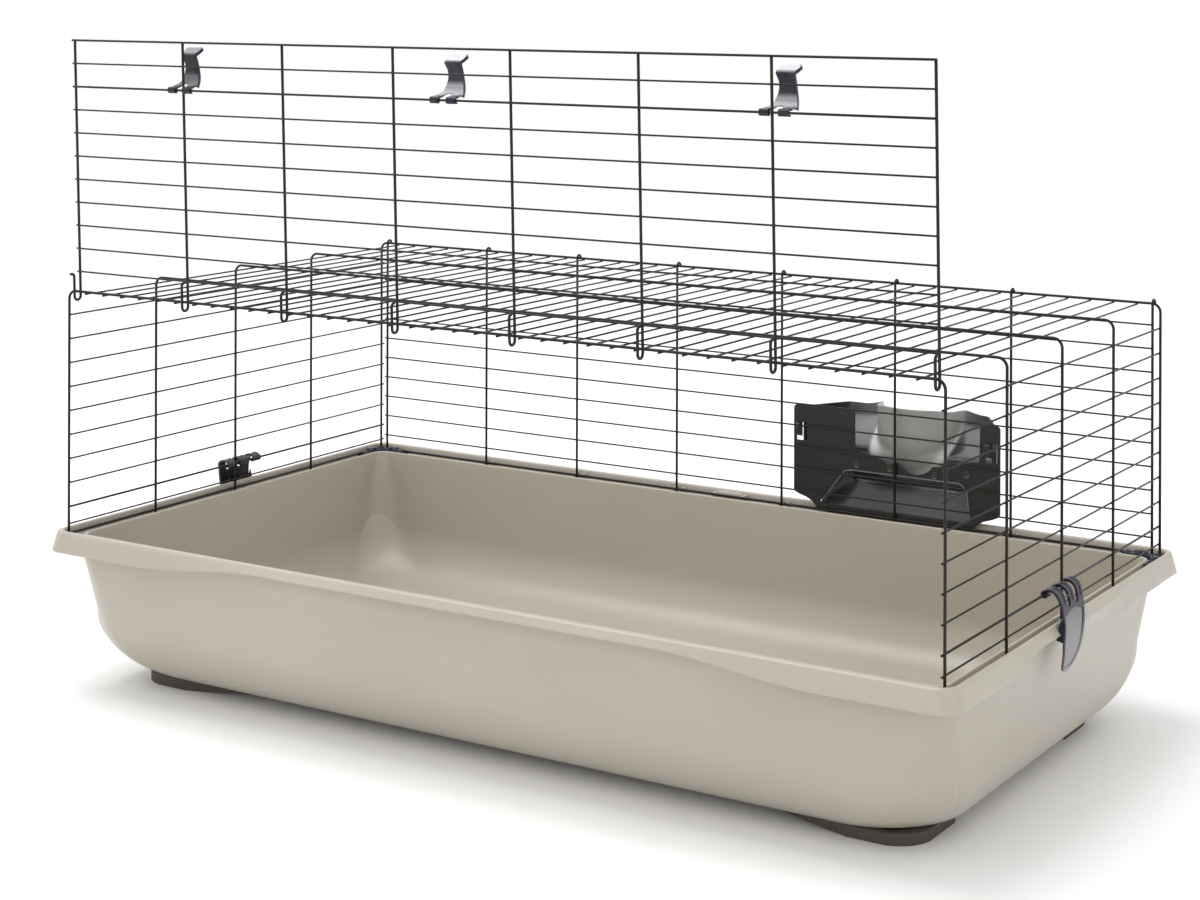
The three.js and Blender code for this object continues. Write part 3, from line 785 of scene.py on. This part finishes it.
def add_front():
    build = Builder()
    loop, low = 5.0, -5.0
    middle = DOOR_Y - loop
    for index, x in enumerate(PANEL_WIRES):
        bend = arc((middle, low), loop, 0, -180, 14)
        if index == 0:
            # The left-most wire ends in a taller crook that points away from the panel.
            leg = [(middle - loop, 16)]
            crook = arc((middle - loop - 4.2, 18), 4.2, 0, 120, 8)
        else:
            leg = [(middle - loop, 17.5)]
            crook = arc((middle - loop + 4.4, 18.5), 4.4, 180, 80, 8)
        line = [(DOOR_Y, DOOR_TOP), *bend, *leg, *crook]
        build.tube([(x, y, z) for y, z in line], THICK)
    for index, z in enumerate(DOOR_LEVELS):
        radius = 1.3 if index in (0, 2) else THIN
        y = DOOR_Y - THICK - radius + SINK
        build.tube([(PANEL_LEFT, y, z), (PANEL_RIGHT, y, z)], radius, 10)
        for x in PANEL_WIRES:
            weld(build, (x, DOOR_Y - 1.35, z), 0)
    mesh = build.mesh("front_panel", door_place)
    piece("front_panel", mesh, WIRE, "door", "coated_wire", "front_panel")


# ---- Clips --------------------------------------------------------------------------------
def spaced(low, high, count):
    return [mix(low, high, k / count) for k in range(count + 1)]


def grid_lines(edges, step):
    """Grid lines that meet each edge, no further apart than step."""
    lines = [edges[0]]
    for low, high in zip(edges, edges[1:]):
        lines.extend(spaced(low, high, max(1, round((high - low) / step)))[1:])
    return lines


def strip_frame(line):
    """Place and outward normal along a side line of (out, up) points, by length."""
    points = curve_through([Vector(p) for p in line], 12)
    lengths = [0.0]
    for a, b in zip(points, points[1:]):
        lengths.append(lengths[-1] + (b - a).length)

    def at(v):
        v = min(max(v, 0.0), lengths[-1])
        k = 0
        while k < len(lengths) - 2 and lengths[k + 1] < v:
            k += 1
        span = lengths[k + 1] - lengths[k]
        share = (v - lengths[k]) / span if span else 0
        point = points[k].lerp(points[k + 1], share)
        along = (points[min(k + 2, len(points) - 1)] - points[max(k - 1, 0)]).normalized()
        return point, Vector((-along.y, along.x))

    return at, lengths[-1]


# Lines are (out, up) from the wire's axis; edge tables are (up, across). The clips curl round their wire.
END_CLIP_LINE = [(2.0, -2.1), (0.2, -2.8), (-1.9, -2.0), (-2.8, 0.2), (-2.0, 2.5), (1.0, 4.3), (6.4, 5.0),
                 (13.4, 1.2), (19, -8), (22.9, -18), (25.3, -30), (26, -45), (25.3, -60), (23.0, -74.5)]
END_CLIP_LEFT = [(-75, 41), (-69, 43), (-44, 43.5), (-21, 38.5), (-8, 34), (1, 32.5), (12, 32.5)]
END_CLIP_RIGHT = [(-75, 25), (-68, 10), (-55, -4), (-44, -9.5), (-21, -18), (-8, -24.5), (1, -32.5),
                  (12, -32.5)]
FINGERS = (-24, 0, 24)
FINGER_SLOTS = (-13, 12)


def lookup(table, key):
    """Value at key of a table of (key, value) pairs, rounded off at its corners."""
    total = 0
    for shift in (-3, -1, 1, 3):
        at = min(max(key + shift, table[0][0]), table[-1][0])
        for (low, first), (high, last) in zip(table, table[1:]):
            if low <= at <= high:
                total += mix(first, last, (at - low) / (high - low)) / 4
                break
    return total


def end_clip_mesh(place):
    """A leaning fin whose three fingers curl round the wire; its own frame is (across, out, up)."""
    at, length = strip_frame(END_CLIP_LINE)
    curl, fork, half = 15.5, 42.0, 32.5

    def edges(v):
        up = at(v)[0].y if v > curl else 5
        left, right = lookup(END_CLIP_LEFT, up), lookup(END_CLIP_RIGHT, up)
        end = min(max((length - v) / 6, 0), 1)
        inset = 6.5 * (1 - math.sqrt(1 - (1 - end) ** 2))
        return right + inset, left - inset

    def across(u, v):
        right, left = edges(v)
        return mix(right, left, (u + half) / (2 * half))

    def panel(x, v):
        """1 inside the recessed panel, 0 on the rim round it."""
        right, left = edges(v)
        up = at(v)[0].y
        middle, reach = (right + left) / 2, (left - right) / 2
        arch = -15.5 - 6.5 * ((x - middle) / reach) ** 2
        inner = min(left - 3.4 - x, x - right - 4.8, arch - up, up + 70.5)
        return smooth(inner, -0.6, 0.6)

    def marks(u, v):
        """Depth of the grooves in the fingers."""
        for middle in FINGERS:
            if abs(u - middle) < 3.4 and curl - 5 < v < fork - 4:
                return 0.9
        return 0.0

    def out(u, v, side):
        point, normal = at(v)
        x = across(u, v)
        if v < curl:
            depth = mix(-0.75, 0.95 - marks(u, v), side)
        else:
            depth = mix(-1.2, 1.5 - 1.1 * panel(x, v) - marks(u, v), side)
        return place((x, point.x + normal.x * depth, point.y + normal.y * depth))

    def keep(u, v):
        if v > fork:
            return True
        if fork - 11 < v < fork - 9.5 and u > 0:
            return True  # a bridge, only in the slot that has no upright wire
        deep = max(v - (fork - 6), 0)
        slot = 5.6 - (6 - math.sqrt(max(36 - deep ** 2, 0))) * 0.93
        return not any(abs(u - middle) < slot for middle in FINGER_SLOTS)

    def tone(u, v, side):
        if not side:
            return 0.0
        return 0.05 + 0.4 * smooth(v, fork + 12, length - 6)

    edges_u = [middle + side for middle in FINGERS for side in (-6.4, -3.4, 3.4, 6.4)]
    us = grid_lines([-half, *edges_u[1:-1], half], 1.1)
    vs = grid_lines([0, curl - 5, curl, fork - 11, fork - 9.5, fork - 4, fork, length - 6, length], 0.9)
    build = Builder()
    build.sheet(us, vs, out, keep, tone)
    return build, at, length, fork, panel, edges


def clip_basis(sign, at):
    """Places an end clip's (across, out, up) on the end wall of that side."""
    def place(point):
        across, out, up = point
        return (at[0] + sign * out, at[1] - sign * across, at[2] + up)
    return place


def add_end_clip(sign, name):
    pivot = own(joint(name + "_hinge")["pos_m"])
    place = clip_basis(sign, pivot)
    build, at, length, fork, panel, edges = end_clip_mesh(place)
    shown = piece(name, build.mesh(name), CLIP, name, "clip_plastic", name)
    soften(shown, 0.3)
    claw = Builder()
    side_line = [(25.4, -38.6), (20, -39.6), (17.2, -40.6), (17.0, -42.4), (20, -43.0), (25.4, -44.4)]
    claw.loft([[place((x, o, z)) for o, z in side_line] for x in spaced(-5, 42, 16)])
    rib_line = [(22.6, -19.5), (20.2, -27), (18.6, -35), (18.2, -39.8), (25.3, -40.5), (24.6, -28)]
    for x in (-3, 19, 41):
        claw.loft([[place((x + dx, o, z)) for o, z in rib_line] for dx in (-0.9, 0.9)])
    shown = piece(name + "_claw", claw.mesh(name + "_claw"), CLIP, name, "clip_plastic")
    soften(shown, 0.3)
    badge = Builder()

    def skin(u, v, side):
        right, left = edges(v)
        x = mix(right + 4.2, left - 2.8, u)
        point, normal = at(v)
        depth = mix(0.1, 0.62, side)
        return place((x, point.x + normal.x * depth, point.y + normal.y * depth))

    def keep(u, v):
        right, left = edges(v)
        return panel(mix(right + 4.2, left - 2.8, u), v) > 0.3

    badge.sheet(spaced(0, 1, 44), spaced(fork + 2, length - 4.5, 74), skin, keep)
    piece(name + "_panel", badge.mesh(name + "_panel"), BADGE, name, "clip_plastic")


FRONT_CLIP_LINE = [(2.0, -2.1), (0.2, -2.8), (-2.0, -2.0), (-2.9, 0.2), (-2.0, 2.4), (0.8, 3.3), (3.6, 4.6),
                   (6.8, 8.6), (9.4, 14), (10.4, 20), (9.8, 27), (7.4, 34), (4.4, 39.6), (3.6, 41.4),
                   (4.6, 43.2), (8.0, 46.4), (12.6, 52)]
FRONT_CLIP_LEFT = [(0, -1.5), (4, 0), (9, 2.5), (15, 3.3), (26, 5.8), (36, 5.3), (40, 2.5), (43, 1.5),
                   (52, 1.2)]
FRONT_CLIP_RIGHT = [(0, 26), (3, 30), (8, 31.5), (16, 28.5), (26, 25.3), (35, 24), (41, 23.4), (46, 25),
                    (52, 27)]
FRONT_CLIP_HOOKS = ((-6.5, 4.0), (15.0, 27.5))
FRONT_CLIP_X = (-397, -20, 381)
FRONT_CLIP_LEANS = (12.5, 15, 21)  # degrees: each clip hangs back from the panel by its own amount
FRONT_CLIP_SHINES = (0.4, 1.0, 0.9)  # how pale the light makes each


def add_front_clip(index):
    name = f"front_clip_{index + 1}"
    axis = own(joint(name + "_hinge")["pos_m"])
    start_x = FRONT_CLIP_X[index]
    lean = math.radians(FRONT_CLIP_LEANS[index]) - LEAN

    def place(point):
        across, out, up = point
        return (start_x + across, axis.y + out * math.cos(lean) + up * math.sin(lean),
                axis.z + up * math.cos(lean) - out * math.sin(lean))

    at, length = strip_frame(FRONT_CLIP_LINE)
    curl, body, low, wide = 13.5, 20.5, -6.5, 40.5

    def across(u, v):
        up = max(at(v)[0].y, 0) if v > curl - 4 else 0
        left, right = lookup(FRONT_CLIP_LEFT, up), lookup(FRONT_CLIP_RIGHT, up)
        end = min(max((length - v) / 3, 0), 1)
        inset = 2.6 * (1 - math.sqrt(1 - (1 - end) ** 2))
        mapped = mix(left + inset, right - inset, (u - low) / wide)
        return mix(u, mapped, smooth(v, curl - 2, body + 3))

    def keep(u, v):
        if v > body:
            return True
        if any(a < u < b for a, b in FRONT_CLIP_HOOKS):
            return True
        return v > curl + 3 and u > 28.5

    def skin(u, v, side):
        point, normal = at(v)
        depth = mix(-0.95, 0.95, side)
        if v > curl and u > low + wide - 2.0:
            depth += mix(-1.1, 0.9, side)  # the stiffened edge
        if v > length - 10 and not side and abs(u - 15) < 1.6:
            depth -= 1.4 * smooth(length - v, 6.5, 9)  # a small nib behind the paddle
        return place((across(u, v), point.x + normal.x * depth, point.y + normal.y * depth))

    # Painted light and shade: the lower body and the paddle painted pale where they face the light, the neck
    # painted dark where it faces down into shade, and a painted shade line at the crease between them.
    def tone(u, v, side):
        if u > low + wide - 2.0 or v < curl + 1:
            return 0.0
        body_painted_light = smooth(v, curl + 1, body) * (1 - smooth(v, body + 8, body + 17))
        crease_painted_shade = 0.25 * smooth(1.0 - abs(v - body - 7), 0, 1)
        paddle = smooth(v, length - 11.5, length - 9)
        return max(body_painted_light * 0.8 - crease_painted_shade, paddle, 0.05) * FRONT_CLIP_SHINES[index]

    us = grid_lines([low, 4.0, 15.0, 27.5, 28.5, low + wide - 2.0, low + wide], 1.0)
    vs = grid_lines([0, curl, curl + 3, body, length], 0.9)
    build = Builder()
    build.sheet(us, vs, skin, keep, tone)
    for start in (hook[0] for hook in FRONT_CLIP_HOOKS):
        for x in (start + 0.9, start + 9.4):
            build.tube([place((x - 0.9, 0, 0)), place((x + 0.9, 0, 0))], 3.5, 18, 0.5)
    shown = piece(name, build.mesh(name), CLIP, name, "clip_plastic", name)
    soften(shown, 0.3)


# ---- Corner connectors --------------------------------------------------------------------
def add_connector(sign, name):
    """An angle in the channel's rear corner, with knuckles round the wires' ends and ribs between them."""
    build = Builder()

    def side_box(low, high):
        xs = sorted((sign * low[0], sign * high[0]))
        build.box((xs[0], low[1], low[2]), (xs[1], high[1], high[2]))

    low, high = 176.4, 182.0  # underside and top of the angle in the channel
    outline = [(526, 311.3), (562, 311.3), (570, 309.5), (575.2, 304), (576.4, 297), (576.4, 262),
               (566.2, 262), (566.2, 291), (560, 298.6), (526, 298.6)]
    ring = [(sign * x, y) for x, y in outline]
    rings = []
    for height, shrink in ((low, 0.6), (low + 0.6, 0), (high - 0.8, 0), (high, 0.8)):
        middle = Vector((sign * 556, 294))
        step = [(middle + (Vector(p) - middle) * (1 - shrink / 40)) for p in ring]
        rings.append([(p.x, p.y, height) for p in step])
    build.loft(rings)

    def knuckle(x, y, radius, top, hole):
        turns = full_turn(24)
        rows = [(radius, low + 1), (radius, top - 0.9), (radius - 0.4, top - 0.2), (radius - 1.0, top)]
        if hole:
            rows += [(hole + 0.5, top), (hole, top - 0.5), (hole, high - 2)]
        build.loft([[(sign * x + r * math.cos(t), y + r * math.sin(t), z) for t in turns] for r, z in rows])

    knuckle(570.0, 306.0, 4.9, 184.8, 1.9)
    knuckle(abs(PANEL_WIRES[0] if sign < 0 else PANEL_WIRES[-1]), REAR_Y, 4.4, 184.4, 1.9)
    knuckle(571.3, 283, 4.9, 186.0, 0)
    knuckle(571.3, 267.5, 4.4, 183.6, 2.0)
    knuckle(545, 305, 5.0, 186.0, 0)
    knuckle(531.5, 305, 4.4, 183.6, 2.0)
    for start in (549.5, 553.0):
        side_box((start, 299.4, high - 1), (start + 1.3, 310.6, 184.4))
    for start in (287.5, 291):
        side_box((566.8, start, high - 1), (575.8, start + 1.3, 184.4))
    shown = piece(name, build.mesh(name), CONNECTOR, "root", "connector_plastic", name)
    soften(shown, 0.3)


# ---- Feeder, whose outlines are (x, z) ----------------------------------------------------
PLATE_FRONT = 304.5
PLATE_BACK = 306.9
BULGE_X, BULGE_Z = 260.0, 269  # middle of the round notch in the plate, in front of the half-pipe's foot
STUDS = [(181, 243.5), (226.5, 243.5), (286, 241.5), (329, 247.5)]
SLOTS_X = (103.5, 360.5)


def flat_plate(name, outlines, front, back, round_by):
    """A plate in X and Z from outlines, holes among them, with rounded edges."""
    data = bpy.data.curves.new(name, "CURVE")
    data.dimensions = "2D"
    data.fill_mode = "BOTH"
    data.extrude = (back - front) / 2 * MM - round_by * MM
    data.bevel_depth = round_by * MM
    data.bevel_resolution = 2
    data.offset = -round_by * MM
    for outline in outlines:
        spline = data.splines.new("POLY")
        spline.points.add(len(outline) - 1)
        for point, (x, z) in zip(spline.points, outline):
            point.co = (x * MM, z * MM, 0, 1)
        spline.use_cyclic_u = True
    carrier = add_object(name, data)
    graph = bpy.context.evaluated_depsgraph_get()
    mesh = bpy.data.meshes.new_from_object(carrier.evaluated_get(graph))
    bpy.data.objects.remove(carrier)
    middle = Matrix.Translation((0, (front + back) / 2 * MM + SHIFT_Y, 0))
    mesh.transform(middle @ Matrix.Rotation(math.pi / 2, 4, "X"))
    return mesh


def feeder_outline():
    left, right, top = 92, 372, 311.0
    window = [(178, 263), (190, 260), (205, 257.5), (216, 253.5), (224, 249),
              *arc((BULGE_X, BULGE_Z), 29, 215, 325, 14),
              (296, 253), (304, 258), (318, 261.5), (332, 263.5), (345, 264.5)]
    top_left = arc((left + 5, top - 5), 5, 180, 90, 5)
    top_right = arc((right - 5, top - 5), 5, 90, 0, 5)
    return [(left, 201), *top_left, (176, top), (177.5, top - 1), *window, (346, top - 1), (347.5, top),
            *top_right, (right, 204), (370, 200.5), (362, 196.8), (350, 193), (341, 187.5), (336, 182.5),
            (330, 180.8), (130, 180.8), (125, 183), (118, 190.5), (110, 194.6), (98, 198)]


def slot_outline(middle):
    """An L-shaped slot that leaves a tongue for the hook."""
    shape = [(-0.5, 289), (7.5, 289), (7.5, 266), (-7.5, 266), (-7.5, 272.5), (-0.5, 272.5)]
    return [(middle + x, z) for x, z in shape]


def mouth_outline():
    return [(131, 189.5), (331, 189.5), (333, 192), (329, 226), (323, 234), (318, 236), (171, 236),
            (163, 233.5), (131, 196), (129.5, 192)]


def add_feeder_plate():
    outlines = [feeder_outline(), *[slot_outline(middle) for middle in SLOTS_X], mouth_outline()]
    plate = flat_plate("feeder_plate", outlines, PLATE_FRONT, PLATE_BACK, 0.5)
    shown = piece("feeder_plate", plate, FEEDER, "feeder", "feeder_plastic", "feeder_plate")
    even_normals(shown, False)
    hooks = Builder()
    wire_z = REAR_LEVELS[6]
    for middle in SLOTS_X:
        side = [(305.6, wire_z - 14), (305.6, wire_z + 3.4), (296.6, wire_z + 3.4), (295.6, wire_z + 2.4),
                (295.6, wire_z - 5), (297.2, wire_z - 5), (297.2, wire_z + 1.7), (303.6, wire_z + 1.7),
                (304.3, wire_z + 0.6), (304.3, wire_z - 14)]
        hooks.loft([[(x, y, z) for y, z in side] for x in (middle - 6.3, middle + 0.8)])
    shown = piece("feeder_hooks", hooks.mesh("feeder_hooks"), FEEDER, "feeder", "feeder_plastic")
    soften(shown, 0.3)


def add_studs():
    rows = [(4.8, 304.8), (4.8, 303.9), (4.6, 303.5), (4.1, 303.3), (3.7, 303.6), (3.5, 304.2), (1.4, 304.1),
            (0.5, 304.0)]
    for index, (x, z) in enumerate(STUDS, 1):
        name = f"feeder_stud_{index}"
        build = Builder()
        build.loft([[(x + r * math.cos(t), y, z + r * math.sin(t)) for t in full_turn(28)] for r, y in rows])
        piece(name, build.mesh("stud"), STUD, "feeder", "feeder_plastic", name)


HOPPER_X = 235  # middle of the funnel
HOPPER_HALF = 130  # half of its width at the plate
HOPPER_DEEP = 61.5
FUNNEL_FOOT = 256  # height where the funnel starts to deepen
PIPE_X = 244.0
PIPE_R = 52.0
PIPE_FOOT = 284.0  # where the half-pipe's round foot begins
PIPE_BACK = 39.5
PIPE_ROUND = 0.72  # depth of the half-pipe over its radius


def pipe_reach(x, z):
    """0 on the axis of the half-pipe, 1 on its edge."""
    return math.hypot(x - PIPE_X, max(PIPE_FOOT - z, 0)) / PIPE_R


def hopper_depth(x, z):
    """How far the funnel's skin stands behind the plate. A half-pipe with a round foot stands out of it."""
    straight = max(min((z - FUNNEL_FOOT) / 56, 1), 0)
    funnel = mix(7, HOPPER_DEEP, smooth(z, FUNNEL_FOOT, 300) * 0.75 + 0.25 * straight)
    side = HOPPER_DEEP * (HOPPER_HALF - abs(x - HOPPER_X)) / 36
    reach = pipe_reach(x, z)
    pipe = PIPE_BACK - PIPE_ROUND * PIPE_R * math.sqrt(max(1 - reach ** 2, 0)) + max(reach - 1, 0) * 260
    soft = 3.0  # the least of the three, rounded off where two of them meet
    total = sum(math.exp(-max(min(value, 300), -60) / soft) for value in (funnel, side, pipe))
    return max(-soft * math.log(total), 0.6)


def add_hopper():
    build = Builder()

    def skin(u, v, side):
        step = 0.5
        depth = hopper_depth(u, v)
        slope_x = (hopper_depth(u + step, v) - hopper_depth(u - step, v)) / (2 * step)
        slope_z = (hopper_depth(u, v + step) - hopper_depth(u, v - step)) / (2 * step)
        normal = Vector((-slope_x, 1, -slope_z)).normalized()
        rise = 9 * smooth(v, 270, 309.5) * (1 - smooth(pipe_reach(u, v), 0.6, 1.6))  # at the half-pipe's top
        return Vector((u, PLATE_BACK + 0.3 + depth, v + rise)) + normal * (1.7 * side)

    # Painted light: the half-pipe painted paler up its height and towards its curved edges, and the funnel's
    # walls paler towards the top.
    def tone(u, v, side):
        reach = pipe_reach(u, v)
        wall = mix(0.0, 0.32, smooth(v, 262, 306)) * smooth(u, 120, 200) * (1 - 0.75 * smooth(u, 285, 320))
        pipe = mix(0.35, 0.76, smooth(v, 240, 285)) + 0.4 * smooth(reach, 0.75, 1.0)
        return mix(pipe, wall, smooth(reach, 1.02, 1.14))

    def keep(u, v):
        return v > 247 or math.hypot(u - BULGE_X, v - BULGE_Z) < 34

    build.sheet(spaced(104, 366, 190), spaced(236, 309.5, 66), skin, keep, tone)
    piece("feeder_hopper", build.mesh("feeder_hopper"), SMOKED, "feeder", "smoked_plastic", "feeder_hopper")


def add_trough():
    build = Builder()
    near, far = PLATE_BACK + 0.3, 364.0
    left, right, floor_z, rim_z = 126, 338, 189.6, 236
    steep = 11  # rise of the walls over their lean
    soft = 3  # rounds off where the floor meets them

    def height(x, y):
        values = [
            floor_z + 0.42 * (y - near),
            rim_z - (x - left - 0.35 * (y - near)) * steep,
            rim_z - (right - 0.2 * (y - near) - x) * steep,
            rim_z - (far - y) * steep,
        ]
        top = max(values)
        total = sum(math.exp((value - top) / soft) for value in values)
        return min(top + soft * math.log(total), rim_z)

    def skin(u, v, side):
        z = height(u, v)
        if z >= rim_z - 0.1:
            z = rim_z
        return (u, v, z - 1.8 * side)

    # Painted highlight: the trough's walls painted paler towards the rim.
    def tone(u, v, side):
        return 0.02 + 0.3 * smooth(height(u, v), 228, rim_z)

    build.sheet(spaced(125, 339, 110), spaced(near, far, 44), skin, tone=tone)
    rim = [(131, 191), (163, 233.5), (171, 236), (318, 236), (323, 234), (329, 226), (333, 192)]
    # A thin pale bar along the mouth's edge, a painted highlight.
    build.tube([(x, PLATE_FRONT - 0.1, z) for x, z in rim], 0.8, 10, 0.3, tone=0.4)
    piece("feeder_trough", build.mesh("feeder_trough"), SMOKED, "feeder", "smoked_plastic", "feeder_trough")


# ---- Floor --------------------------------------------------------------------------------
def add_floor():
    nodes = Nodes("floor")
    stops = [(0.3, (0.9, 0.9, 0.9)), (0.7, (0.92, 0.92, 0.92))]
    nodes.feed("Base Color", nodes.ramp(nodes.noise(3, detail=2), stops))
    nodes.set(Roughness=0.6, Specular_IOR_Level=0.2, Emission_Color=(1, 1, 1, 1))
    far = nodes.node("ShaderNodeVectorMath", operation="LENGTH")
    nodes.link(nodes.place(), far.inputs[0])
    nodes.feed("Emission Strength", nodes.range(far.outputs["Value"], 1.2, 3.0, 0.0, 0.12))
    mesh = bpy.data.meshes.new("floor")
    size = 12
    corners = [(-size, -size, 0), (size, -size, 0), (size, size, 0), (-size, size, 0)]
    mesh.from_pydata(corners, [], [(0, 1, 2, 3)])
    mesh.materials.append(nodes.material)
    add_object("floor", mesh)


add_camera()
add_studio()
add_tray()
add_channel_details()
add_end_wall(-1, "left_end_grille")
add_end_wall(1, "right_end_grille")
add_roof()
add_rear()
add_front()
for number in range(3):
    add_front_clip(number)
add_end_clip(-1, "left_end_clip")
add_end_clip(1, "right_end_clip")
add_connector(-1, "left_corner_connector")
add_connector(1, "right_corner_connector")
add_feeder_plate()
add_studs()
add_hopper()
add_trough()
add_floor()
